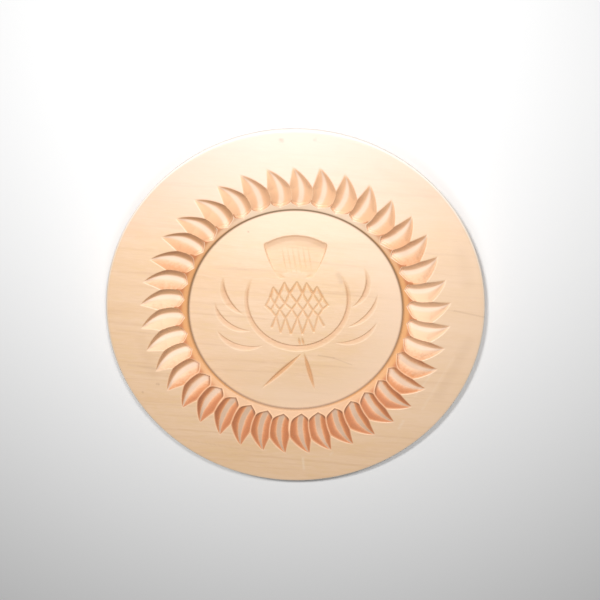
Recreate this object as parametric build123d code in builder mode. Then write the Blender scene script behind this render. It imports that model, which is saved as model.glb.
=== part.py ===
"""Carved round butter mould: one turned wooden disc with a thistle in its sunk field.

The disc lies on its flat back. The origin is the centre of the back, +Z is the way
the carved face looks, and +Y is the way the thistle grows. All sizes are millimetres.
"""

from build123d import *
from math import atan2, cos, degrees, radians, sin, tan
import os

# Disc
board_radius = 95.0
board_thickness = 20.0
face_edge_round = 1.4
rim_land = 3.2
back_radius = 84.0
rim_bulge = 1.0
back_edge_round = 1.5

# Turned recess: a cone from the face to a lip, then a small step down to the field
recess_mouth_radius = 67.5
lip_radius = 55.6
lip_depth = 8.0
field_radius = 55.0
field_depth = 9.3
lip_round = 0.5

# Ring of gouge cuts
gouge_count = 39
gouge_first_angle = 1.1
gouge_tip_radius = 77.4
gouge_profile_radius = 5.9
gouge_fall = 23.5
gouge_lead = 8.0
gouge_reach = 21.7
gouge_bow = 3.8
gouge_drift = 2.0
stop_apex_radius = 57.5
stop_shoulder_radius = 60.6
stop_apex_angle = 2.0
stop_left_angle = -1.5

# Thistle
motif_centre_x = 1.2
chip_slope = 23.0
vee_slope = 38.0
cutter_depth = 2.2
air = 1.0

# Crescent under the flower head: tips, lowest point of the sharp line and of the soft one
crescent_tip = (21.8, 20.3)
crescent_sharp_low = -17.6
crescent_soft_low = -21.1

# Leaves: outer tip, inner tip, middle of the sharp upper line, middle of the soft lower one
leaves = (
    ((-36.9, 21.6), (-27.7, 0.4), (-34.8, 9.6), (-37.9, 7.9)),
    ((-42.4, 8.6), (-24.1, -8.6), (-36.3, -3.1), (-38.8, -5.0)),
    ((-42.5, -7.4), (-18.4, -16.8), (-31.6, -16.1), (-32.6, -19.3)),
    ((33.6, 24.7), (27.3, 3.0), (34.4, 13.8), (37.2, 12.8)),
    ((40.9, 10.8), (24.7, -7.9), (35.6, -0.2), (37.6, -1.8)),
    ((41.0, -4.6), (18.4, -16.2), (32.2, -13.3), (33.6, -15.9)),
)

# Flower tuft
tuft_left = (-15.8, 37.8)
tuft_right = (15.7, 36.8)
tuft_top = (0.6, 42.1)
tuft_foot_left = (-8.8, 19.9)
tuft_foot_right = (7.8, 20.1)
tuft_slope_y = 37.4
tuft_slope_radius = 200.0
tuft_side_width = 1.5
bristle_count = 6
bristle_first_x = -7.3
bristle_pitch = 2.6
bristle_top_y = 35.4
bristle_foot_y = 21.2
bristle_lean = 2.3
bristle_width = 0.8

# Scales of the flower head: a lattice of V-cuts on a round head
head_centre_y = 3.3
scale_half_width = 2.9
scale_half_height = 5.65
scale_row_reach = (4, 5, 6, 5, 4, 3)
head_bow = 0.38
scale_cut_width = 1.2
scale_cut_depth = 0.7

# Stems: start, end and width
stems = (
    ((1.0, -22.0), (-20.4, -41.6), 2.3),
    ((2.4, -21.6), (7.2, -42.6), 2.3),
    ((-0.9, -13.2), (-0.6, -17.7), 1.2),
    ((1.2, -13.2), (1.5, -17.7), 1.2),
)

face_z = board_thickness
field_z = board_thickness - field_depth
lip_z = board_thickness - lip_depth
pitch = 360.0 / gouge_count


def polar(radius, angle):
    """Point at an angle clockwise from +Y, as seen from the carved side."""
    return (radius * sin(radians(angle)), radius * cos(radians(angle)))


def circle_through(first, second, third):
    """Centre and radius of the circle through three points."""
    arc = ThreePointArc(first, second, third, mode=Mode.PRIVATE)
    return arc.arc_center, arc.radius


def bowed_middle(start, end, bow):
    """Middle of a line from start to end, moved to its left by bow."""
    run = Vector(*end) - Vector(*start)
    side = Vector(-run.Y, run.X).normalized()
    return Vector(*start) + run * 0.5 + side * bow


def sloped_disc(centre, radius, slope):
    """Frustum that is as wide as the circle on the field and narrows below it."""
    above = air / tan(radians(slope))
    below = cutter_depth / tan(radians(slope))
    middle_z = field_z + (air - cutter_depth) / 2
    place = Pos(centre.X, centre.Y, middle_z)
    return place * Cone(radius - below, radius + above, cutter_depth + air)


def chip_cut(tip, end, sharp_middle, soft_middle):
    """Crescent with an upright wall along its sharp line and a slope up to its soft line."""
    soft_centre, soft_radius = circle_through(tip, soft_middle, end)
    sharp_centre, sharp_radius = circle_through(tip, sharp_middle, end)
    wall = Pos(sharp_centre.X, sharp_centre.Y, field_z) * Cylinder(sharp_radius, 4 * cutter_depth)
    return sloped_disc(soft_centre, soft_radius, chip_slope) - wall


def vee_cut(start, end, width):
    """Slender V-cut that runs out to a point at both ends."""
    near_centre, near_radius = circle_through(start, bowed_middle(start, end, width / 2), end)
    far_centre, far_radius = circle_through(start, bowed_middle(start, end, -width / 2), end)
    near = sloped_disc(near_centre, near_radius, vee_slope)
    far = sloped_disc(far_centre, far_radius, vee_slope)
    return near & far


def scale_point(column, row):
    """Crossing of the scale lattice; outer columns are drawn towards the head's middle."""
    rows_up = (len(scale_row_reach) - 1) / 2 - row
    squeeze = 1 - head_bow * (column / max(scale_row_reach)) ** 2
    return Vector(column * scale_half_width, head_centre_y + rows_up * scale_half_height * squeeze)


def scale_cut(start, end):
    """Straight V-cut of even width between two crossings of the lattice."""
    run = end - start
    beyond = run.normalized() * (scale_cut_width / 4)
    first = start - beyond
    plane = Plane(
        origin=(first.X, first.Y, field_z),
        x_dir=(-run.Y, run.X, 0),
        z_dir=(run.X, run.Y, 0),
    )
    half_top = scale_cut_width / 2 * (1 + air / scale_cut_depth)
    outline = Polygon((-half_top, air), (half_top, air), (0, -scale_cut_depth), align=None)
    return extrude(plane * outline, run.length + scale_cut_width / 2)


# One gouge cut, made at the first petal's place: a round channel along a falling arc
tip_x, tip_y = polar(gouge_tip_radius, gouge_first_angle)
tip_direction = Vector(tip_x, tip_y, 0).normalized()
inward_fall = -tip_direction * cos(radians(gouge_fall)) - Vector(0, 0, 1) * sin(radians(gouge_fall))
clockwise = Vector(tip_direction.Y, -tip_direction.X, 0)
channel_floor = Plane(
    origin=(tip_x, tip_y, face_z),
    x_dir=inward_fall,
    z_dir=inward_fall.cross(clockwise),
)
channel_bend, channel_bend_radius = circle_through(
    (0, 0), (gouge_reach / 2, gouge_bow), (gouge_reach, gouge_drift)
)
lead_angle = degrees(gouge_lead / channel_bend_radius)
tip_angle = degrees(atan2(-channel_bend.Y, -channel_bend.X))
end_angle = degrees(atan2(gouge_drift - channel_bend.Y, gouge_reach - channel_bend.X))

with BuildPart() as gouge_channel:
    with BuildLine(channel_floor.offset(gouge_profile_radius)) as channel_path:
        CenterArc(
            (channel_bend.X, channel_bend.Y),
            channel_bend_radius,
            end_angle - lead_angle,
            tip_angle - end_angle + 2 * lead_angle,
        )
    with BuildSketch(Plane(origin=channel_path.line @ 0, z_dir=channel_path.line % 0)):
        Circle(gouge_profile_radius)
    sweep()

# The channel stops at a V of two upright knife cuts
apex = polar(stop_apex_radius, gouge_first_angle + stop_apex_angle)
left_shoulder = polar(stop_shoulder_radius, gouge_first_angle + stop_left_angle)
right_shoulder = polar(stop_shoulder_radius, gouge_first_angle + stop_left_angle + pitch)
left_far = polar(gouge_tip_radius + gouge_lead, gouge_first_angle - pitch)
right_far = polar(gouge_tip_radius + gouge_lead, gouge_first_angle + 2 * pitch)
left_out = Vector(*left_shoulder) + (Vector(*left_shoulder) - Vector(*apex))
right_out = Vector(*right_shoulder) + (Vector(*right_shoulder) - Vector(*apex))

with BuildPart() as gouge_cut:
    with BuildSketch(Plane.XY):
        with BuildLine():
            Polyline(apex, right_out, right_far, left_far, left_out, close=True)
        make_face()
    extrude(amount=face_z + gouge_profile_radius)
    add(gouge_channel.part, mode=Mode.INTERSECT)

# Every cut of the thistle, in its own frame round the motif's centre
crescent_left = (-crescent_tip[0], crescent_tip[1])
carving = [chip_cut(crescent_left, crescent_tip, (0, crescent_sharp_low), (0, crescent_soft_low))]
for outer_tip, inner_tip, sharp_middle, soft_middle in leaves:
    carving.append(chip_cut(outer_tip, inner_tip, sharp_middle, soft_middle))
for start, end, width in stems:
    carving.append(vee_cut(start, end, width))

tuft_centre, tuft_radius = circle_through(tuft_left, tuft_top, tuft_right)
tuft_wall = Pos(tuft_centre.X, tuft_centre.Y, field_z) * Cylinder(tuft_radius, 4 * cutter_depth)
tuft_floor_centre = Vector(0, tuft_slope_y + tuft_slope_radius)
carving.append(sloped_disc(tuft_floor_centre, tuft_slope_radius, chip_slope / 2) & tuft_wall)
carving.append(vee_cut(tuft_left, tuft_foot_left, tuft_side_width))
carving.append(vee_cut(tuft_right, tuft_foot_right, tuft_side_width))
for index in range(bristle_count):
    bristle_x = bristle_first_x + index * bristle_pitch
    bristle_top = (bristle_x, bristle_top_y)
    bristle_foot = (bristle_x + bristle_lean, bristle_foot_y)
    carving.append(vee_cut(bristle_top, bristle_foot, bristle_width))

for row, reach in enumerate(scale_row_reach[:-1]):
    next_reach = scale_row_reach[row + 1]
    for column in range(-reach, reach + 1, 2):
        for next_column in (column - 1, column + 1):
            if abs(next_column) <= next_reach:
                carving.append(scale_cut(scale_point(column, row), scale_point(next_column, row + 1)))

# The board, turned first and carved after
rim_top = Vector(board_radius, face_z - rim_land)
rim_foot = Vector(back_radius, 0)
rim_middle = (rim_top + rim_foot) / 2 + Vector(rim_bulge, -rim_bulge)
rounded_corners = (
    ((board_radius, face_z), face_edge_round),
    ((back_radius, 0), back_edge_round),
    ((lip_radius, lip_z), lip_round),
)

with BuildPart() as mold_board:
    with BuildSketch(Plane.XZ) as turned_profile:
        with BuildLine():
            Polyline(
                (0, 0),
                (0, field_z),
                (field_radius, field_z),
                (lip_radius, lip_z),
                (recess_mouth_radius, face_z),
                (board_radius, face_z),
                rim_top,
            )
            ThreePointArc(rim_top, rim_middle, rim_foot)
            Line(rim_foot, (0, 0))
        make_face()
        for corner, corner_round in rounded_corners:
            fillet(turned_profile.vertices().sort_by_distance(corner)[0], corner_round)
    revolve(axis=Axis.Z)
    with PolarLocations(0, gouge_count):
        add(gouge_cut.part, mode=Mode.SUBTRACT)
    for cut in carving:
        add(Pos(motif_centre_x, 0, 0) * cut, mode=Mode.SUBTRACT)

mold_board.part.label = "mold_board"
os.makedirs("parts", exist_ok=True)
export_step(mold_board.part, "parts/mold_board.step")
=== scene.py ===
"""Looks of the carved butter mould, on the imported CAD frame.

The board is one dense mesh in the CAD node's place: the thistle field is a square grid
wrapped onto a disc, and everything outside it is rings on the same spokes. Heights come
from the turned profile and every gouge and knife cut. Lengths are in millimetres and
angles in degrees unless a comment says otherwise. Angles round the board run clockwise
from +Y, which is the thistle's upper end.
"""

import bpy
import numpy as np
from mathutils import Matrix, Vector


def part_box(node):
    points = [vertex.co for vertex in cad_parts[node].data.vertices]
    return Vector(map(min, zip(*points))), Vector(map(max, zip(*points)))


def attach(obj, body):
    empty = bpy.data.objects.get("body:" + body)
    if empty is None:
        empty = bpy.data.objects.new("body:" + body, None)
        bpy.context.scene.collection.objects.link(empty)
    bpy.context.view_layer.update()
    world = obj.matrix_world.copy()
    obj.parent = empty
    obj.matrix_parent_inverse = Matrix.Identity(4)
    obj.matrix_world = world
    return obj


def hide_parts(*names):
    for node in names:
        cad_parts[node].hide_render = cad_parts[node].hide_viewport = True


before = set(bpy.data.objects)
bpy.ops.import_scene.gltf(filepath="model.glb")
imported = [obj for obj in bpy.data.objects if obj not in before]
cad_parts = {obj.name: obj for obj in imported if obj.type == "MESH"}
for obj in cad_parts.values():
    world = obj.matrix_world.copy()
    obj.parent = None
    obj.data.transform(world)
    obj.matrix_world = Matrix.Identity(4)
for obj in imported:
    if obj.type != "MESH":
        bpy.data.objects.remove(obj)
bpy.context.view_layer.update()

MM = 0.001
rng = np.random.default_rng(39)

board_low, board_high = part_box("mold_board")
face_z = board_high[2] / MM
board_radius = (board_high[0] - board_low[0]) / 2 / MM

# Mesh density: cells across the field, then the spacing or number of the rings outside it
field_cells = 400
grid_inset = 0.3
ring_step = 0.27
fine_past_tips = 1.5
face_step = 0.9
edge_steps = 7
under_steps = 22
foot_steps = 7
back_step = 4.0

# Turned profile: radius and height of each corner, from the middle out
field_radius = 55.0
field_z = face_z - 9.3
lip_radius = 55.6
lip_z = face_z - 8.0
mouth_radius = 67.5
turned_round = 0.12
profile_step = 0.02
profile_margin = 4
blur_deviations = 4

# Rim and back
edge_round = 1.2
rim_land = 3.2
back_radius = 84.0
rim_bulge = 1.0
foot_turn_out = 0.2
foot_turn_in = 1.6
inside_cad = 0.03

# Ring of gouge cuts: a round-bottomed channel each, falling inwards to a V-shaped stop
gouge_count = 39
gouge_first_angle = 1.1
gouge_tip_radius = 77.4
gouge_fall = 23.5
gouge_reach = 21.7
gouge_bow = 3.8
gouge_drift = 2.0
gouge_flat = 0.8
gouge_floor_radius = 20.0
gouge_wall_round = 1.9
gouge_tip_round = 0.12
gouge_slope = 0.62
gouge_curl = 0.08
gouge_tip_slope = 0.22
gouge_tip_run = 10.0
gouge_passes = 5
gouge_neighbours = (-2, -1, 0, 1)
gouge_edge_round = 0.35
stop_apex_radius = 57.5
stop_shoulder_radius = 60.6
stop_apex_angle = 2.0
stop_left_angle = -1.5
stop_bulge = 0.3
stop_wall = 0.8
stop_shade_out = 0.2
stop_shade_width = 0.8
stop_shade_depth = 0.4
ring_margin = 2

# The carver's hand: least and most that one gouge cut differs from the plain one
angle_spread = (-0.3, 0.3)
tip_spread = (-0.5, 0.4)
fall_spread = (-0.5, 0.5)
bow_spread = (-0.3, 0.3)
apex_spread = (-0.3, 0.3)

# Thistle, in its own frame round (motif_x, 0). Chips have an upright wall on the sharp line.
motif_x = 1.2
motif_margin = 3
chip_slope = 15.0
vee_slope = 40.0
chip_wall = 0.3
crescent_tip = (21.8, 20.3)
crescent_sharp_low = -17.6
crescent_soft_low = -21.1
crescent_soft_side = (27.4, 4.0)
crescent_fade = 7.0

# Each side leaf: its two tips, then the middle of its sharp line and of its soft one
leaves = (
    ((-36.9, 21.6), (-27.7, 0.4), (-34.8, 9.6), (-37.9, 7.9)),
    ((-42.4, 8.6), (-24.1, -8.6), (-36.3, -3.1), (-38.8, -5.0)),
    ((-42.5, -7.4), (-18.4, -16.8), (-31.6, -16.1), (-32.6, -19.3)),
    ((33.6, 24.7), (27.3, 3.0), (34.4, 13.8), (37.2, 12.8)),
    ((40.9, 10.8), (24.7, -7.9), (35.6, -0.2), (37.6, -1.8)),
    ((41.0, -4.6), (18.4, -16.2), (32.2, -13.3), (33.6, -15.9)),
)

# Tuft: grooves are given as distance inside their line and depth
tuft_left = (-15.8, 37.8)
tuft_right = (15.7, 36.8)
tuft_top = (0.6, 42.1)
tuft_foot_left = (-8.8, 19.9)
tuft_foot_right = (7.8, 20.1)
tuft_side_bow = 1.1
tuft_groove = ((0, 0.0), (0.9, 0.55), (3.0, 1.0), (5.5, 1.0), (19.0, 0.0))
tuft_side_groove = ((0, 0.0), (0.8, 0.6), (2.6, 0.0))
tuft_foot_share = 0.35
tuft_side_ease = 0.5
tuft_foot_ease = 1.0
tuft_top_ease = 0.6
crown_shade_reach = 5.0
crown_shade_strength = 0.5
bristle_xs = (-7.3, -4.7, -2.1, 0.5, 3.1, 5.7)
bristle_top_y = 37.6
bristle_foot_y = 21.2
bristle_lean = 2.3
bristle_width = 0.85
bristle_stain_and_shade = 0.6

# Scales: height and reach in half cells of each row of crossings, from the top down
head_centre_y = 3.3
head_centre_x = -0.5
scale_half_width = 2.92
scale_rows = ((17.5, 4), (11.7, 5), (6.4, 6), (2.2, 5), (-2.6, 4), (-10.9, 5))
scale_spread = 0.55
scale_weights = (0.1, 0.6)
head_bow = 0.43
head_narrowing = 0.12
scale_cut_width = (1.3, 1.8)
scale_cut_depth = (0.42, 0.7)

# Stems: start, end and width
stems = (
    ((2.0, -21.8), (-21.0, -42.6), 2.7),
    ((2.4, -21.4), (7.8, -44.4), 2.7),
    ((0.0, -12.9), (0.7, -18.4), 1.4),
    ((1.7, -12.9), (2.7, -18.4), 1.4),
)

# Marks of age on the face: start, end, half-width and strength (pale when negative)
face_marks = (
    ((-5.2, 90.2), (-4.4, 90.0), 0.8, 0.7),
    ((10.2, 89.8), (11.0, 90.0), 0.6, 0.5),
    ((-74.2, -33.4), (-73.5, -33.9), 0.5, 0.7),
    ((-82.5, -38.0), (-81.9, -38.3), 0.5, 0.5),
    ((78.6, 3.6), (95.2, -0.6), 0.4, 0.42),
    ((72.0, 4.6), (78.6, 3.6), 0.3, 0.25),
    ((-92.0, -2.5), (-66.0, -6.0), 0.5, 0.2),
    ((-88.0, -22.0), (-70.0, -25.5), 0.6, 0.22),
    ((-60.0, -68.0), (-22.0, -76.0), 0.5, 0.22),
    ((9.9, -23.4), (18.2, -25.3), 0.35, 0.5),
    ((18.2, -25.3), (27.7, -29.6), 0.3, 0.4),
    ((21.0, 21.0), (22.6, 17.0), 1.6, 0.35),
    ((-23.3, 44.6), (-23.0, 44.4), 0.4, 0.8),
    ((0.4, -80.5), (0.8, -87.0), 0.7, -0.7),
    ((15.2, -78.7), (16.6, -76.9), 0.6, -0.5),
    ((52.0, -63.0), (54.3, -58.5), 0.7, -0.6),
    ((70.0, -28.0), (60.0, -44.0), 0.6, -0.35),
    ((79.0, -22.0), (64.0, -52.0), 0.7, -0.4),
    ((86.0, -14.0), (72.0, -44.0), 4.0, 0.17),
    ((84.0, 18.0), (80.0, 34.0), 5.0, 0.14),
    ((-80.0, -8.0), (-76.0, -28.0), 4.0, 0.13),
    ((40.0, 76.0), (66.0, 62.0), 4.0, 0.12),
)

# Shape layers that the wood reads: creases (painted shade) and ridges (painted highlight), the
# field's pale edge, the uncut wedges between the stops, the field's lip (painted shadow) and the
# rim band (painted light)
crease_rounds = 22
crease_radius = 79.5
crease_in_field = 0.75
crease_less_on_tuft = 0.35
tuft_margin = 2
depth_margin = 1
pale_field_start = 40
pale_field_width = 24
pale_field_x = -25
pale_field_x_width = 40
wedge_radius = 58.0
wedge_width = 1.8
wedge_cut_limit = 0.3
wedge_margin = 1
lip_line_out = 0.15
lip_line_width = 0.6
rim_band_share = 0.7
rim_band_width = 0.8

# Wood colours, as linear albedo
face_pale = (0.84, 0.575, 0.365, 1)
face_warm = (0.80, 0.52, 0.295, 1)
face_yellow = (0.78, 0.52, 0.25, 1)
# Painted glare: the face paler and pinker towards +Y
face_painted_glare = (0.80, 0.49, 0.385, 1)
grain_brown = (0.60, 0.35, 0.18, 1)
field_pale = (0.83, 0.60, 0.42, 1)
# Painted shade: chips that face the lamps darkened to read like the face, and the shade under the
# tuft's top line
chip_painted_shade = (0.90, 0.81, 0.74, 1)
# Painted light: the cone paler towards +Y and darker towards -Y, evening out how the lamps light
# its slopes
cone_top = (0.97, 0.74, 0.53, 1)
cone_foot = (0.70, 0.41, 0.22, 1)
cone_end = (0.77, 0.35, 0.105, 1)
# Cut wood: its paler colours towards +Y are painted glare, its darker ones go towards -Y
cut_side_grain = (0.92, 0.68, 0.51, 1)
cut_grain_low = (0.44, 0.28, 0.165, 1)
cut_end_grain = (0.91, 0.55, 0.31, 1)
cut_end_low = (0.66, 0.23, 0.055, 1)
cut_deep_end = (0.55, 0.165, 0.035, 1)
# Painted shade on gouge walls that face -Y, away from the lamps
cut_painted_shade = (0.62, 0.51, 0.35, 1)
# Stops: painted shade, darkest towards -Y where their walls face away from the lamps, with
# end-grain orange between
stop_top = (0.66, 0.45, 0.29, 1)
stop_side = (0.64, 0.25, 0.08, 1)
stop_painted_shade = (0.30, 0.11, 0.035, 1)
# Knife lines: darker cut wood and painted shade in the narrow cuts
knife_brown = (0.66, 0.33, 0.125, 1)
# Painted highlight on convex ridges, towards -Y
ridge_painted_highlight = (0.98, 0.60, 0.34, 1)
# Painted shade in creases and at the foot of walls
crease_painted_shade = (0.30, 0.13, 0.045, 1)
# Painted shadow beside the field's lip step, strongest towards +Y
lip_painted_shadow = (0.24, 0.14, 0.05, 1)
# Rim: painted light, paler than its shade, and near white towards +Y as painted glare
rim_painted_light = (0.90, 0.74, 0.58, 1)
rim_painted_glare = (0.97, 0.93, 0.86, 1)
mark_brown = (0.28, 0.14, 0.06, 1)
mark_pale = (0.90, 0.74, 0.58, 1)

# Noise in the wood: cycles per millimetre along the grain, across it and through the board
grain_turn = 6.0
streak_rates = (0.012, 0.33, 0.2)
band_rates = (0.008, 0.09, 0.07)
fibre_rates = (0.12, 3.2, 3.2)
fleck_rates = (0.16, 0.75, 0.6)
blotch_rates = (0.035, 0.055, 0.05)
blotch_turn = 30
mottle_rates = (0.7, 0.9, 0.9)

# Detail, roughness and distortion of the noises
streak_detail = (4, 0.55, 0.4)
band_detail = (2, 0.5, 0.6)
fine_detail = (3, 0.6, 0)

# Ranges for Nodes.remap: from and to of the value read, then of the share it becomes
# (0 to 1 where they are left out). These read a noise.
bands_warm = (0.35, 0.68)
blotches_yellow = (0.52, 0.75, 0, 0.55)
streaks_brown = (0.54, 0.72, 0, 0.5)
fibres_brown = (0.35, 0.75, 0, 0.33)
flecks_yellow = (0.5, 0.75, 0, 0.55)
flecks_pale = (0.5, 0.28, 0, 0.5)
blotches_patchy = (0.3, 0.7, -0.2, 0.2)
mottle_patchy = (0.3, 0.7, -0.06, 0.06)
fibres_rough = (0.3, 0.7, 0.43, 0.52)

# These read the place on the board, Y or X
glare_y = (40, 90, 0, 0.85)
# Painted light: paler towards +X, evening out the weaker right-hand lamp
pale_x = (30, 90, 0, 0.5)
cone_foot_y = (55, -55)
grain_low_y = (-10, -62)
end_low_y = (60, 0)
deep_end_y = (45, -30)
lower_wall_y = (-20, -50)
upper_wall_y = (-60, -25, 0.2, 0.9)
upper_wall_x = (-30, 45, 1.0, 0.55)
stop_side_y = (50, 10)
stop_shade_y = (-20, -55)
stop_share_y = (-15, -50, 0.35, 0.9)
stop_crease_y = (-50, -20, 0, 0.9)
ridge_y = (-5, -40, 0, 0.45)
lip_y = (-60, 45, 0.1, 0.85)
rim_glare_y = (20, 80)

# These read a shape layer: a depth, a slope or a strength
worn_cut = (0.0, 0.1)
gouged_cut = (0.01, 0.12)
ring_depth = (0.0, 0.12)
chip_shaded = (0.03, 0.4)
knife_stain_and_shade = (0.05, 0.55, 0, 0.85)
knife_crease = (0.0, 0.3, 1.0, 0.5)
side_wall = (0.06, 0.42, 0, 0.75)
end_wall = (0.16, 0.42)
deep_end_wall = (0.42, 0.62)
upper_wall = (0.12, 0.42)
cone_end_grain = (0.25, 0.52)
wedge_end_grain = (0.25, 0.45)
stop_shaded = (0.05, 0.8)
crease_shaded = (0.03, 0.32, 0, 0.85)
ridge_highlit = (-0.04, -0.25)
mark_dark = (0.05, 1.2, 0, 0.8)
mark_light = (-0.05, -1, 0, 0.5)

# Shares, gloss and fine relief of the wood; bump_distance is in metres
field_edge_share = 0.6
ring_share = 0.95
rim_share = 0.85
worn_roughness = 0.3
fibre_relief = 0.7
mottle_relief = 0.6
bump_strength = 0.12
bump_distance = 0.0003
wax_ior = 1.8
wax_shine = 0.92

# Camera: where it stands and looks, in metres, and its lens and sensor in millimetres
camera_place = (0.0095, 0.1422, 0.3622)
camera_aim = (0.0027, 0.0114, 0.0200)
camera_roll = -1.75
camera_lens = 44.24
camera_sensor = 36

# Floor and light: each lamp's name, place and size in metres, and power in watts
floor_size = 6
floor_grey = (0.83, 0.83, 0.83, 1)
floor_roughness = 0.8
lamps = (
    ("key_left", (-0.045, 0.208, 0.42), (0.03, 0.02), 1.3),
    ("key_right", (0.045, 0.208, 0.42), (0.03, 0.02), 0.89),
    ("overhead", (0.0, -0.04, 0.50), (0.14, 0.14), 0.56),
)
world_white = (1, 1, 1, 1)
world_strength = 0.04


def smooth_step(distance, width):
    """0 before the edge and 1 after it, easing over the width."""
    t = np.clip(distance / width + 0.5, 0, 1)
    return t * t * (3 - 2 * t)


def smooth_min(a, b, blend):
    """The lower of two heights, rounded where they cross."""
    t = np.clip(0.5 + 0.5 * (b - a) / blend, 0, 1)
    return b + (a - b) * t - blend * t * (1 - t)


def quadratic(start, control, end, t):
    """Points of a quadratic curve at each t."""
    t = t[:, None]
    return (1 - t) ** 2 * start + 2 * t * (1 - t) * control + t**2 * end


def circle_through(first, second, third):
    """Centre and radius of the circle through three points."""
    (ax, ay), (bx, by), (cx, cy) = first, second, third
    twice_area = 2 * (ax * (by - cy) + bx * (cy - ay) + cx * (ay - by))
    a2, b2, c2 = ax * ax + ay * ay, bx * bx + by * by, cx * cx + cy * cy
    x = (a2 * (by - cy) + b2 * (cy - ay) + c2 * (ay - by)) / twice_area
    y = (a2 * (cx - bx) + b2 * (ax - cx) + c2 * (bx - ax)) / twice_area
    return (x, y), np.hypot(ax - x, ay - y)


def inside_circle(x, y, circle):
    """How far inside the circle each point is; negative outside."""
    (cx, cy), radius = circle
    return radius - np.hypot(x - cx, y - cy)


def beside_segment(x, y, start, end):
    """Share of the segment's length nearest each point, and the distance to it there."""
    run = np.subtract(end, start)
    t = np.clip(((x - start[0]) * run[0] + (y - start[1]) * run[1]) / (run @ run), 0, 1)
    return t, np.hypot(x - start[0] - t * run[0], y - start[1] - t * run[1])


def tangent(degrees):
    return np.tan(np.radians(degrees))


def polar(radius, angle):
    """Point at an angle clockwise from +Y."""
    return np.array((radius * np.sin(np.radians(angle)), radius * np.cos(np.radians(angle))))


def turned_height(radius):
    """Height of the board as it comes off the lathe, its corners softened by turned_round."""
    corners = (0, field_radius, lip_radius, mouth_radius, board_radius)
    heights = (field_z, field_z, lip_z, face_z, face_z)
    fine = np.arange(0, board_radius + profile_margin, profile_step)
    sharp = np.interp(fine, corners, heights)
    reach = blur_deviations * turned_round
    offsets = np.arange(-reach, reach + profile_step, profile_step)
    kernel = np.exp(-0.5 * (offsets / turned_round) ** 2)
    half = len(offsets) // 2
    soft = np.convolve(np.pad(sharp, half, mode="edge"), kernel / kernel.sum(), mode="same")
    return np.interp(radius, fine, soft[half : half + len(fine)])


# The carver's hand. The order of these draws, and of those in scale_cuts, sets the board's looks.
even_angles = gouge_first_angle + np.arange(gouge_count) * 360 / gouge_count
tip_angles = even_angles + rng.uniform(*angle_spread, gouge_count)
tip_radii = gouge_tip_radius + rng.uniform(*tip_spread, gouge_count)
falls = gouge_fall + rng.uniform(*fall_spread, gouge_count)
bows = gouge_bow + rng.uniform(*bow_spread, gouge_count)
apex_radii = stop_apex_radius + rng.uniform(*apex_spread, gouge_count)
apex_angles = stop_apex_angle + rng.uniform(*apex_spread, gouge_count)
widest_reach = max(reach for _, reach in scale_rows)
crossings = (len(scale_rows), 2 * widest_reach + 1, 2)
scale_jitter = rng.uniform(-scale_spread, scale_spread, crossings)


def stop_distance(x, y, k):
    """Distance outside gouge cut k's V-shaped stop; negative inwards of it."""
    angle = tip_angles[k]
    apex = polar(apex_radii[k], angle + apex_angles[k])
    left = polar(stop_shoulder_radius, angle + stop_left_angle)
    right = polar(stop_shoulder_radius, angle + stop_left_angle + 360 / gouge_count)
    legs = []
    for shoulder, turn in ((left, 1), (right, -1)):
        length = np.hypot(*(shoulder - apex))
        run = (shoulder - apex) / length
        share = np.clip(((x - apex[0]) * run[0] + (y - apex[1]) * run[1]) / length, 0, 1)
        across = turn * ((x - apex[0]) * run[1] - (y - apex[1]) * run[0])
        # 27 / 4 brings the bulge's highest point to stop_bulge
        legs.append(across + stop_bulge * 27 / 4 * share**2 * (1 - share))
    return np.minimum(*legs)


def gouge_channel(x, y, k):
    """Height of gouge cut k's channel, the slope of its walls, and that slope where it faces -Y."""
    outward = polar(1, tip_angles[k])
    clockwise = (outward[1], -outward[0])
    inward_run = tip_radii[k] - (x * outward[0] + y * outward[1])
    side = x * clockwise[0] + y * clockwise[1]
    sine, cosine = np.sin(np.radians(falls[k])), np.cos(np.radians(falls[k]))
    middle, end = (gouge_reach / 2, bows[k]), (gouge_reach, gouge_drift)
    bend, bend_radius = circle_through((0, 0), middle, end)
    drop = -inward_run * tangent(falls[k])
    for _ in range(gouge_passes):
        along = inward_run * cosine - drop * sine
        off_line = np.hypot(along - bend[0], side - bend[1]) - bend_radius
        full = np.clip(along / gouge_tip_run, 0, 1)
        slope = gouge_slope + np.where(off_line < 0, gouge_tip_slope, 0) * (1 - full)
        beyond_floor = np.maximum(np.abs(off_line) - gouge_flat * full, 0)
        wall_round = gouge_wall_round * (gouge_tip_round + (1 - gouge_tip_round) * full)
        wall = np.hypot(beyond_floor, wall_round) - wall_round
        rise = off_line**2 / (2 * gouge_floor_radius) + slope * wall + gouge_curl * wall**2
        drop = (rise - inward_run * sine) / cosine
    wall_slope = slope * beyond_floor / np.hypot(beyond_floor, wall_round)
    bank = np.abs(off_line) / gouge_floor_radius + wall_slope
    overhung = bank * np.maximum(np.sign(off_line) * clockwise[1], 0)
    return face_z + drop, bank, overhung


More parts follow.
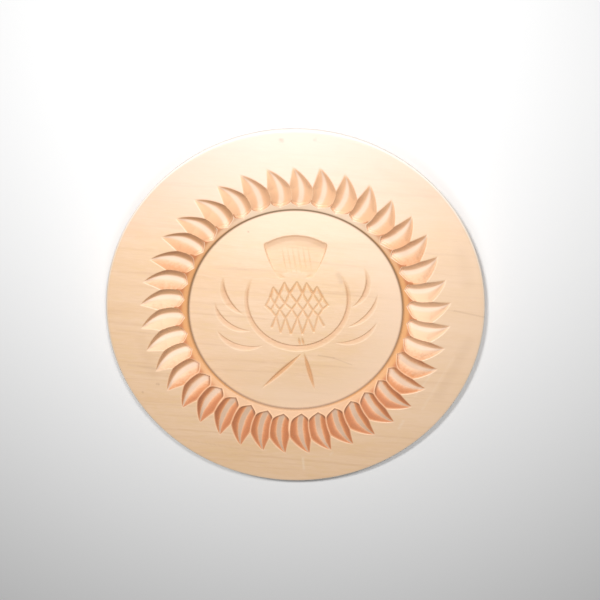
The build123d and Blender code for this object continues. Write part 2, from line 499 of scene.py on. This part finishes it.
def carve_ring(x, y, height):
    """Height after every gouge cut, how strongly painted shade darkens its stop, and three wall
    slopes.

    The slopes are those of every wall, of walls that roughly face along the grain, and of
    walls that face -Y.
    """
    angle = np.degrees(np.arctan2(x, y))
    nearest = np.floor((angle - gouge_first_angle) / 360 * gouge_count + 0.5).astype(int)
    carved = height.copy()
    stop, walls, end_walls, upper_walls = np.zeros((4, len(height)))
    for offset in gouge_neighbours:
        petals = (nearest + offset) % gouge_count
        for k in np.unique(petals):
            chosen = petals == k
            channel, bank, overhung = gouge_channel(x[chosen], y[chosen], k)
            outside = stop_distance(x[chosen], y[chosen], k)
            lowered = smooth_min(channel, height[chosen], gouge_edge_round)
            lowered = np.minimum(lowered, height[chosen])
            share = smooth_step(outside, stop_wall)
            result = height[chosen] + (lowered - height[chosen]) * share
            lower = result < carved[chosen]
            walls[chosen] = np.where(lower, bank, walls[chosen])
            facing_end = np.abs(np.cos(np.radians(tip_angles[k] + grain_turn)))
            end_walls[chosen] = np.where(lower, bank * facing_end, end_walls[chosen])
            upper_walls[chosen] = np.where(lower, overhung, upper_walls[chosen])
            deeper = lower & (height[chosen] - lowered > stop_shade_depth)
            carved[chosen] = np.minimum(carved[chosen], result)
            near_wall = np.exp(-(((outside - stop_shade_out) / stop_shade_width) ** 2))
            stop[chosen] = np.where(deeper, near_wall, stop[chosen])
    return carved, stop, walls, end_walls, upper_walls


def chip_depth(x, y, tip, end, sharp_middle, soft_middle):
    """Upright wall along the sharp line, easing up to the soft one."""
    soft = inside_circle(x, y, circle_through(tip, soft_middle, end))
    sharp = inside_circle(x, y, circle_through(tip, sharp_middle, end))
    depth = np.maximum(soft, 0) * tangent(chip_slope)
    return depth * smooth_step(-sharp - chip_wall / 2, chip_wall)


def crescent_depth(x, y):
    """The long leaf under the head: a chip that fades out towards its tips."""
    tip = (-crescent_tip[0], crescent_tip[1])
    sharp = inside_circle(x, y, circle_through(tip, (0, crescent_sharp_low), crescent_tip))
    side = (-crescent_soft_side[0], crescent_soft_side[1])
    soft_line = circle_through(side, (0, crescent_soft_low), crescent_soft_side)
    soft = np.maximum(inside_circle(x, y, soft_line), 0)
    depth = soft * tangent(chip_slope) * smooth_step(-sharp - chip_wall / 2, chip_wall)
    return depth * np.clip((crescent_tip[1] - y) / crescent_fade, 0, 1)


def vee_depth(x, y, start, end, width):
    """Slender V-cut that runs out to a point at both ends."""
    start, end = np.array(start), np.array(end)
    run = end - start
    side = np.array((-run[1], run[0])) / np.hypot(*run) * width / 2
    middle = (start + end) / 2
    near = inside_circle(x, y, circle_through(start, middle + side, end))
    far = inside_circle(x, y, circle_through(start, middle - side, end))
    return np.maximum(np.minimum(near, far), 0) * tangent(vee_slope)


def groove_depth(inside, groove):
    """Depth of a groove by the distance inside its line."""
    distances, depths = zip(*groove)
    return np.interp(inside, distances, depths, left=0, right=0)


def tuft_depths(x, y):
    """Depth of the tuft's grooves, and a depth that only sets painted shade under its top line."""
    inside_top = inside_circle(x, y, circle_through(tuft_left, tuft_top, tuft_right))
    inside_sides = []
    for top, foot, turn in ((tuft_left, tuft_foot_left, -1), (tuft_right, tuft_foot_right, 1)):
        middle = ((top[0] + foot[0]) / 2 + turn * tuft_side_bow, (top[1] + foot[1]) / 2)
        inside_sides.append(inside_circle(x, y, circle_through(top, middle, foot)))
    within = smooth_step(np.minimum(*inside_sides), tuft_side_ease)
    grooves = groove_depth(inside_top, tuft_groove) * within
    shade = np.clip(1 - inside_top / crown_shade_reach, 0, 1) * (inside_top > 0) * within
    above_foot = y - tuft_foot_left[1]
    taper = np.clip(above_foot / (tuft_left[1] - tuft_foot_left[1]), 0, 1)
    ends = smooth_step(above_foot, tuft_foot_ease) * smooth_step(inside_top, tuft_top_ease)
    for inside in inside_sides:
        side = groove_depth(inside, tuft_side_groove)
        side = side * (tuft_foot_share + (1 - tuft_foot_share) * taper)
        grooves = np.maximum(grooves, side * ends)
    return grooves, shade * crown_shade_strength


def scale_point(column, row):
    """Crossing of the scale lattice; outer columns are drawn towards the head's middle."""
    outward = (column / widest_reach) ** 2
    y = head_centre_y + (scale_rows[row][0] - head_centre_y) * (1 - head_bow * outward)
    x = head_centre_x + column * scale_half_width * (1 - head_narrowing * outward)
    return np.array((x, y)) + scale_jitter[row, column + widest_reach]


def scale_depth(x, y, start, end, heavy):
    """Straight V-cut between two crossings, wider and deeper at its lower end."""
    t, off = beside_segment(x, y, start, end)
    share = np.clip(t * heavy, 0, 1)
    width = scale_cut_width[0] + (scale_cut_width[1] - scale_cut_width[0]) * share
    depth = scale_cut_depth[0] + (scale_cut_depth[1] - scale_cut_depth[0]) * share
    return np.maximum(1 - off / (width / 2), 0) * depth


def scale_cuts():
    """Both ends and the weight of each cut between two rows; the top row's are all heavy."""
    for row, (_, reach) in enumerate(scale_rows[:-1]):
        for column in range(-reach, reach + 1, 2):
            for next_column in (column - 1, column + 1):
                if abs(next_column) <= scale_rows[row + 1][1]:
                    heavy = 1.0 if row == 0 else rng.uniform(*scale_weights)
                    yield scale_point(column, row), scale_point(next_column, row + 1), heavy


def thistle_depth(x, y):
    """Depth of all the carving in the field, then the depths that darken its lines, with stain and
    painted shade, and its chips, with painted shade.
    """
    chips = crescent_depth(x, y)
    for leaf in leaves:
        chips = np.maximum(chips, chip_depth(x, y, *leaf))
    grooves, shade = tuft_depths(x, y)
    knife, bristles = np.zeros((2, len(x)))
    for stem in stems:
        knife = np.maximum(knife, vee_depth(x, y, *stem))
    for cut in scale_cuts():
        knife = np.maximum(knife, scale_depth(x, y, *cut))
    for top_x in bristle_xs:
        top, foot = (top_x, bristle_top_y), (top_x + bristle_lean, bristle_foot_y)
        bristles = np.maximum(bristles, vee_depth(x, y, top, foot, bristle_width))
    depth = np.maximum(np.maximum(chips, grooves), knife) + bristles
    return depth, knife + bristles * bristle_stain_and_shade, np.maximum(chips, shade)


def field_grid():
    """Square grid wrapped onto the field's disc: x, y, quads, and its border with its angles.

    The border's angles are in radians and run the other way, from +X towards +Y.
    """
    steps = np.linspace(-1, 1, field_cells + 1)
    a, b = np.meshgrid(steps, steps, indexing="ij")
    wide = np.abs(a) >= np.abs(b)
    big = np.where(wide, a, b)
    small = np.where(wide, b, a)
    share = np.divide(small, big, out=np.zeros_like(big), where=big != 0) * np.pi / 4
    radius = big * (field_radius - grid_inset)
    x = (np.where(wide, np.cos(share), np.sin(share)) * radius).ravel()
    y = (np.where(wide, np.sin(share), np.cos(share)) * radius).ravel()
    index = np.arange(len(x)).reshape(a.shape)
    corners = [index[:-1, :-1], index[1:, :-1], index[1:, 1:], index[:-1, 1:]]
    quads = np.stack(corners, -1).reshape(-1, 4)
    sides = [index[0, :-1], index[:-1, -1], index[-1, :0:-1], index[:0:-1, 0]]
    border = np.concatenate(sides)
    angle = np.arctan2(y[border], x[border])
    order = np.argsort(angle)
    return x, y, quads, border[order], angle[order]


def carved_face(x, y):
    """Height of the turned and carved face, and by layer name what the cuts did to it."""
    radius = np.hypot(x, y)
    turned = turned_height(radius)
    z = turned.copy()
    names = ("knife", "chip", "stop", "wall", "end_wall", "upper_wall")
    layers = {name: np.zeros(len(z)) for name in names}
    ring = radius > stop_apex_radius - ring_margin
    ring &= radius < gouge_tip_radius + ring_margin
    z[ring], *traces = carve_ring(x[ring], y[ring], turned[ring])
    for name, trace in zip(names[2:], traces):
        layers[name][ring] = trace
    field = radius < field_radius - motif_margin
    thistle, knife, chips = thistle_depth(x[field] - motif_x, y[field])
    z[field] -= thistle
    layers["knife"][field], layers["chip"][field] = knife, chips
    layers["cut"] = turned - z
    return z, layers


def rim_curve():
    """Radius and height of each ring from the face's rounded edge to the middle of the back."""
    turns = np.linspace(0, np.pi / 2, edge_steps)
    edge_r = board_radius - edge_round + np.sin(turns) * edge_round
    edge_z = face_z - edge_round + np.cos(turns) * edge_round
    top = np.array((board_radius, face_z - rim_land))
    foot = np.array((back_radius, 0.0))
    middle = (top + foot) / 2
    bulged = middle + np.array((rim_bulge, -rim_bulge))
    under = quadratic(top, 2 * bulged - middle, foot, np.linspace(0, 1, under_steps)[:-2])
    turn_out = np.array((back_radius + foot_turn_out, 0.0))
    turn_in = np.array((back_radius - foot_turn_in, 0.0))
    turned_in = quadratic(under[-1], turn_out, turn_in, np.linspace(0, 1, foot_steps)[1:])
    back_r = np.arange(back_radius - back_step, back_step, -back_step)
    back = np.stack([back_r, np.zeros_like(back_r)], -1)
    curve = np.concatenate([np.stack([edge_r, edge_z], -1), under, turned_in, back])
    return np.minimum(curve[:, 0], board_radius - inside_cad), curve[:, 1]


def board_surface():
    """Vertices, quads, the fan of triangles that closes the back, and the face's layers."""
    x, y, quads, border, angle = field_grid()
    grid_size, spokes = len(x), len(border)

    fine_radii = np.arange(field_radius, gouge_tip_radius + fine_past_tips, ring_step)
    plain_radii = np.arange(fine_radii[-1] + face_step, board_radius - edge_round, face_step)
    face_radii = np.concatenate([fine_radii, plain_radii])
    x = np.concatenate([x, (np.cos(angle) * face_radii[:, None]).ravel()])
    y = np.concatenate([y, (np.sin(angle) * face_radii[:, None]).ravel()])
    z, layers = carved_face(x, y)

    rim_radii, rim_heights = rim_curve()
    x = np.concatenate([x, (np.cos(angle) * rim_radii[:, None]).ravel(), [0.0]])
    y = np.concatenate([y, (np.sin(angle) * rim_radii[:, None]).ravel(), [0.0]])
    z = np.concatenate([z, np.repeat(rim_heights, spokes), [0.0]])
    uncarved = np.zeros(len(rim_radii) * spokes + 1)
    layers = {name: np.concatenate([values, uncarved]) for name, values in layers.items()}

    ring_count = len(face_radii) + len(rim_radii)
    rings = grid_size + np.arange(ring_count * spokes).reshape(-1, spokes)
    rings = np.concatenate([border[None], rings])
    after = np.roll(rings, -1, axis=1)
    corners = [rings[:-1], rings[1:], after[1:], after[:-1]]
    quads = np.concatenate([quads, np.stack(corners, -1).reshape(-1, 4)])
    fan = np.stack([rings[-1], np.full(spokes, len(x) - 1), after[-1]], -1)
    return np.stack([x, y, z], -1), quads, fan, layers


def blurred(values, edges):
    """Each vertex's value eased towards its neighbours', over about 0.6 mm of the fine mesh."""
    size = len(values)
    first, second = edges[:, 0], edges[:, 1]
    neighbours = np.bincount(first, minlength=size) + np.bincount(second, minlength=size)
    for _ in range(crease_rounds):
        total = np.bincount(first, values[second], size) + np.bincount(second, values[first], size)
        values = (values + total / neighbours) / 2
    return values


def surface_marks(x, y):
    """Dents and dirt (positive) and pale scratches (negative), as strokes with soft edges."""
    marks = np.zeros_like(x)
    for start, end, width, strength in face_marks:
        _, off = beside_segment(x, y, start, end)
        marks += strength * np.exp(-((off / width) ** 2))
    return marks


def shape_layers(points, cut, edges, normals):
    """What the wood reads from the finished surface, by layer name."""
    x, y, z = points.T
    radius = np.hypot(x, y)
    crease = np.where(radius < crease_radius, blurred(z, edges) - z, 0)
    in_field = radius < field_radius - motif_margin
    on_tuft = smooth_step(y - tuft_foot_left[1] + tuft_margin, tuft_margin) * in_field
    crease = crease * np.where(in_field, crease_in_field - crease_less_on_tuft * on_tuft, 1.0)
    in_ring = (radius > field_radius) & (radius < gouge_tip_radius + depth_margin)
    pale_field = smooth_step(radius - pale_field_start, pale_field_width) * (radius < lip_radius)
    uncut = (radius > lip_radius) & (radius < stop_shoulder_radius + wedge_margin)
    uncut &= cut < wedge_cut_limit
    grain = (np.cos(np.radians(grain_turn)), -np.sin(np.radians(grain_turn)), 0)
    return {
        "depth": np.where(in_ring, face_z - z, 0),
        "mark": surface_marks(x - motif_x, y),
        "field_edge": pale_field * smooth_step(x - pale_field_x, pale_field_x_width),
        "end_grain": np.abs(normals @ np.array(grain)),
        "wedge": np.where(uncut, smooth_step(radius - wedge_radius, wedge_width), 0),
        "lip": np.exp(-(((radius - field_radius - lip_line_out) / lip_line_width) ** 2)),
        "rim": smooth_step(radius - board_radius + edge_round * rim_band_share, rim_band_width),
        "crease": crease,
    }


def make_board():
    """The whole board as one smooth mesh, with its layers as point attributes."""
    points, quads, fan, layers = board_surface()
    mesh = bpy.data.meshes.new("carved_board")
    mesh.vertices.add(len(points))
    mesh.vertices.foreach_set("co", (points * MM).astype(np.float32).ravel())
    corners = np.concatenate([quads.ravel(), fan.ravel()])
    mesh.loops.add(len(corners))
    mesh.loops.foreach_set("vertex_index", corners.astype(np.int32))
    mesh.polygons.add(len(quads) + len(fan))
    fan_starts = quads.size + np.arange(len(fan)) * 3
    starts = np.concatenate([np.arange(len(quads)) * 4, fan_starts])
    mesh.polygons.foreach_set("loop_start", starts.astype(np.int32))
    mesh.update(calc_edges=True)
    mesh.validate()
    mesh.polygons.foreach_set("use_smooth", np.ones(len(mesh.polygons), dtype=bool))
    normals = np.zeros(points.size, dtype=np.float32)
    mesh.vertex_normals.foreach_get("vector", normals)
    edges = np.zeros(len(mesh.edges) * 2, dtype=np.int32)
    mesh.edges.foreach_get("vertices", edges)
    layers |= shape_layers(points, layers["cut"], edges.reshape(-1, 2), normals.reshape(-1, 3))
    for name, values in layers.items():
        layer = mesh.attributes.new(name, "FLOAT", "POINT")
        layer.data.foreach_set("value", values.astype(np.float32))
    piece = bpy.data.objects.new("carved_board", mesh)
    bpy.context.collection.objects.link(piece)
    return piece


class Nodes:
    """Short names for building one material's node tree."""

    def __init__(self, name):
        self.material = bpy.data.materials.new(name)
        self.material.use_nodes = True
        self.tree = self.material.node_tree
        self.shader = self.tree.nodes["Principled BSDF"]

    def add(self, kind, inputs=None, **settings):
        """New node with its sockets and its own settings filled in."""
        node = self.tree.nodes.new(kind)
        for name, value in settings.items():
            setattr(node, name, value)
        for name, value in (inputs or {}).items():
            self.set(node.inputs[name], value)
        return node

    def set(self, socket, value):
        """Links the socket to another one, or gives it a constant."""
        if isinstance(value, bpy.types.NodeSocket):
            self.tree.links.new(value, socket)
        else:
            socket.default_value = value

    def math(self, operation, first, second):
        node = self.add("ShaderNodeMath", {0: first, 1: second}, operation=operation)
        return node.outputs[0]

    def times(self, first, second):
        return self.math("MULTIPLY", first, second)

    def remap(self, value, low, high, to_low=0.0, to_high=1.0):
        """Low to high becomes to_low to to_high, held at either end."""
        inputs = {"Value": value, "From Min": low, "From Max": high}
        inputs |= {"To Min": to_low, "To Max": to_high}
        return self.add("ShaderNodeMapRange", inputs).outputs["Result"]

    def stretch(self, per_mm, turn):
        """Object coordinates in millimetres, turned about Z, then times a rate along each axis."""
        coordinates = self.add("ShaderNodeTexCoord").outputs["Object"]
        inputs = {"Vector": coordinates, "Axis": (0, 0, 1), "Angle": np.radians(turn)}
        turned = self.add("ShaderNodeVectorRotate", inputs).outputs["Vector"]
        inputs = {0: turned, 1: tuple(rate / MM for rate in per_mm)}
        return self.add("ShaderNodeVectorMath", inputs, operation="MULTIPLY").outputs[0]

    def noise(self, rates, turn, settings):
        """Noise at a rate along each turned axis; settings are detail, roughness, distortion."""
        detail, roughness, distortion = settings
        inputs = {"Vector": self.stretch(rates, turn), "Scale": 1.0, "Detail": detail}
        inputs |= {"Roughness": roughness, "Distortion": distortion}
        return self.add("ShaderNodeTexNoise", inputs).outputs["Fac"]

    def mix(self, share, first, second, blend="MIX"):
        """Two colours mixed; a Mix node's colour sockets are its inputs 6 and 7 and output 2."""
        node = self.add("ShaderNodeMix", data_type="RGBA", blend_type=blend)
        self.set(node.inputs[0], share)
        self.set(node.inputs[6], first)
        self.set(node.inputs[7], second)
        return node.outputs[2]

    def layer(self, name):
        """One of the board's point attributes."""
        return self.add("ShaderNodeAttribute", attribute_name=name).outputs["Fac"]


def bare_wood(n, fibres, blotches):
    """The plain wood: broad bands, streaks, fibres and flecks along the grain."""
    streaks = n.noise(streak_rates, grain_turn, streak_detail)
    bands = n.noise(band_rates, grain_turn, band_detail)
    flecks = n.noise(fleck_rates, grain_turn, fine_detail)
    colour = n.mix(n.remap(bands, *bands_warm), face_pale, face_warm)
    colour = n.mix(n.remap(blotches, *blotches_yellow), colour, face_yellow)
    colour = n.mix(n.remap(streaks, *streaks_brown), colour, grain_brown)
    colour = n.mix(n.remap(fibres, *fibres_brown), colour, grain_brown)
    colour = n.mix(n.remap(flecks, *flecks_yellow), colour, face_yellow)
    return n.mix(n.remap(flecks, *flecks_pale), colour, face_pale)


def ring_wood(n, x, y, blotches, mottle):
    """The turned cone and the gouge cuts in it, stained most where end grain faces out, with
    painted light by place and facing.
    """
    patchy = n.remap(blotches, *blotches_patchy)
    # Walls in the lower half count as end grain, and the cut wood darkens towards -Y; its paler
    # colours towards +Y are painted glare
    lower_wall = n.times(n.layer("wall"), n.remap(y, *lower_wall_y))
    end = n.math("MAXIMUM", n.layer("end_wall"), lower_wall)
    end = n.math("ADD", end, n.remap(mottle, *mottle_patchy))

    lower_share = n.math("ADD", n.remap(y, *grain_low_y), patchy)
    side_grain = n.mix(lower_share, cut_side_grain, cut_grain_low)
    side_grain = n.mix(n.remap(n.layer("wall"), *side_wall), side_grain, cut_end_grain)
    end_lower_share = n.math("ADD", n.remap(y, *end_low_y), patchy)
    end_grain = n.mix(end_lower_share, cut_end_grain, cut_end_low)
    gouged = n.mix(n.remap(end, *end_wall), side_grain, end_grain)
    deep = n.times(n.remap(end, *deep_end_wall), n.remap(y, *deep_end_y))
    gouged = n.mix(deep, gouged, cut_deep_end)
    # Painted shade on gouge walls that face -Y, away from the lamps
    upper = n.times(n.remap(n.layer("upper_wall"), *upper_wall), n.remap(y, *upper_wall_y))
    upper = n.times(upper, n.remap(x, *upper_wall_x))
    gouged = n.mix(upper, gouged, n.mix(1.0, gouged, cut_painted_shade, "MULTIPLY"))

    # Painted light: the cone paler towards +Y and darker towards -Y
    cone = n.mix(n.math("ADD", n.remap(y, *cone_foot_y), patchy), cone_top, cone_foot)
    cone = n.mix(n.remap(n.layer("end_grain"), *cone_end_grain), cone, cone_end)
    colour = n.mix(n.remap(n.layer("cut"), *gouged_cut), cone, gouged)
    # Uncut wedges between the stops: end grain, with painted shade
    wedge = n.times(n.layer("wedge"), n.remap(n.layer("end_grain"), *wedge_end_grain))
    return n.mix(wedge, colour, cut_deep_end)


def lined_wood(n, y, colour):
    """Stain and painted shade in knife lines, painted shade at the stops and in the creases, and a
    painted highlight on the ridges between the cuts.
    """
    # Knife lines: darker cut wood and painted shade
    colour = n.mix(n.remap(n.layer("knife"), *knife_stain_and_shade), colour, knife_brown)
    # Painted shade at the stops, darkest towards -Y, with end-grain orange between
    stop = n.remap(n.layer("stop"), *stop_shaded)
    stop_colour = n.mix(n.remap(y, *stop_side_y), stop_top, stop_side)
    stop_colour = n.mix(n.remap(y, *stop_shade_y), stop_colour, stop_painted_shade)
    colour = n.mix(n.times(stop, n.remap(y, *stop_share_y)), colour, stop_colour)
    # Painted shade in the creases, less where the stops and knife lines have theirs
    not_stop = n.math("SUBTRACT", 1.0, n.times(stop, n.remap(y, *stop_crease_y)))
    not_knife = n.remap(n.layer("knife"), *knife_crease)
    crease = n.times(n.times(n.layer("crease"), not_stop), not_knife)
    colour = n.mix(n.remap(crease, *crease_shaded), colour, crease_painted_shade)
    # Painted highlight on convex ridges between the cuts
    ridge = n.times(n.remap(n.layer("crease"), *ridge_highlit), n.remap(y, *ridge_y))
    return n.mix(ridge, colour, ridge_painted_highlight)


def sycamore():
    """The board's material: bare wood, then what use and light did to it by shape and place."""
    n = Nodes("sycamore")
    fibres = n.noise(fibre_rates, grain_turn, fine_detail)
    blotches = n.noise(blotch_rates, blotch_turn, fine_detail)
    mottle = n.noise(mottle_rates, 0, fine_detail)
    place = n.add("ShaderNodeSeparateXYZ", {"Vector": n.stretch((1, 1, 1), 0)})
    x, y = place.outputs["X"], place.outputs["Y"]

    colour = bare_wood(n, fibres, blotches)
    # Painted glare: the face paler and pinker towards +Y
    colour = n.mix(n.remap(y, *glare_y), colour, face_painted_glare)
    # Painted light: paler towards +X, evening out the weaker right-hand lamp
    colour = n.mix(n.remap(x, *pale_x), colour, field_pale)
    colour = n.mix(n.times(n.layer("field_edge"), field_edge_share), colour, field_pale)
    # Painted shade on the chips and under the tuft's top line
    colour = n.mix(n.remap(n.layer("chip"), *chip_shaded), colour, chip_painted_shade, "MULTIPLY")
    ring = n.remap(n.layer("depth"), *ring_depth)
    colour = n.mix(n.times(ring, ring_share), colour, ring_wood(n, x, y, blotches, mottle))
    colour = lined_wood(n, y, colour)
    # Painted shadow line beside the field's lip, strongest towards +Y
    colour = n.mix(n.times(n.layer("lip"), n.remap(y, *lip_y)), colour, lip_painted_shadow)
    # Painted light on the rim band, with painted glare towards +Y
    rim_colour = n.mix(n.remap(y, *rim_glare_y), rim_painted_light, rim_painted_glare)
    colour = n.mix(n.times(n.layer("rim"), rim_share), colour, rim_colour)
    colour = n.mix(n.remap(n.layer("mark"), *mark_dark), colour, mark_brown)
    colour = n.mix(n.remap(n.layer("mark"), *mark_light), colour, mark_pale)

    carved = n.math("MAXIMUM", n.remap(n.layer("cut"), *worn_cut), ring)
    worn = n.math("MAXIMUM", carved, n.math("MAXIMUM", n.layer("rim"), n.layer("lip")))
    rough = n.math("ADD", n.remap(fibres, *fibres_rough), n.times(worn, worn_roughness))
    relief = n.math("ADD", n.times(fibres, fibre_relief), n.times(mottle, mottle_relief))
    inputs = {"Height": relief, "Strength": bump_strength, "Distance": bump_distance}
    bump = n.add("ShaderNodeBump", inputs)
    n.set(n.shader.inputs["Base Color"], colour)
    n.set(n.shader.inputs["Roughness"], rough)
    n.set(n.shader.inputs["IOR"], wax_ior)
    n.set(n.shader.inputs["Specular IOR Level"], wax_shine)
    n.set(n.shader.inputs["Normal"], bump.outputs["Normal"])
    return n.material


def add_floor():
    bpy.ops.mesh.primitive_plane_add(size=floor_size, location=(0, 0, 0))
    floor = bpy.context.object
    floor.name = "floor"
    n = Nodes("floor")
    n.set(n.shader.inputs["Base Color"], floor_grey)
    n.set(n.shader.inputs["Roughness"], floor_roughness)
    floor.data.materials.append(n.material)


def add_lamp(name, place, size, power):
    """Area lamp that faces the origin and isn't seen itself."""
    light = bpy.data.lights.new(name, "AREA")
    light.shape = "RECTANGLE"
    light.size, light.size_y = size
    light.energy = power
    lamp = bpy.data.objects.new(name, light)
    bpy.context.collection.objects.link(lamp)
    lamp.location = place
    lamp.rotation_euler = (-Vector(place)).to_track_quat("-Z", "Y").to_euler()
    lamp.visible_camera = False


def add_camera():
    camera = bpy.data.objects.new("camera", bpy.data.cameras.new("camera"))
    bpy.context.collection.objects.link(camera)
    camera.data.lens = camera_lens
    camera.data.sensor_width = camera_sensor
    place = Vector(camera_place)
    forward = (Vector(camera_aim) - place).normalized()
    right = forward.cross(Vector((0, 1, 0))).normalized()
    up = right.cross(forward)
    turn = Matrix((right, up, -forward)).transposed().to_4x4()
    roll = Matrix.Rotation(np.radians(camera_roll), 4, "Z")
    camera.matrix_world = Matrix.Translation(place) @ turn @ roll
    bpy.context.scene.camera = camera


def add_world():
    """Faint even light from all round."""
    world = bpy.data.worlds.new("studio")
    bpy.context.scene.world = world
    world.use_nodes = True
    background = world.node_tree.nodes["Background"]
    background.inputs["Color"].default_value = world_white
    background.inputs["Strength"].default_value = world_strength


board = make_board()
board.data.materials.append(sycamore())
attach(board, "root")
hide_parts("mold_board")

add_floor()
for lamp_settings in lamps:
    add_lamp(*lamp_settings)
add_camera()
add_world()
bpy.context.scene.view_settings.view_transform = "Standard"
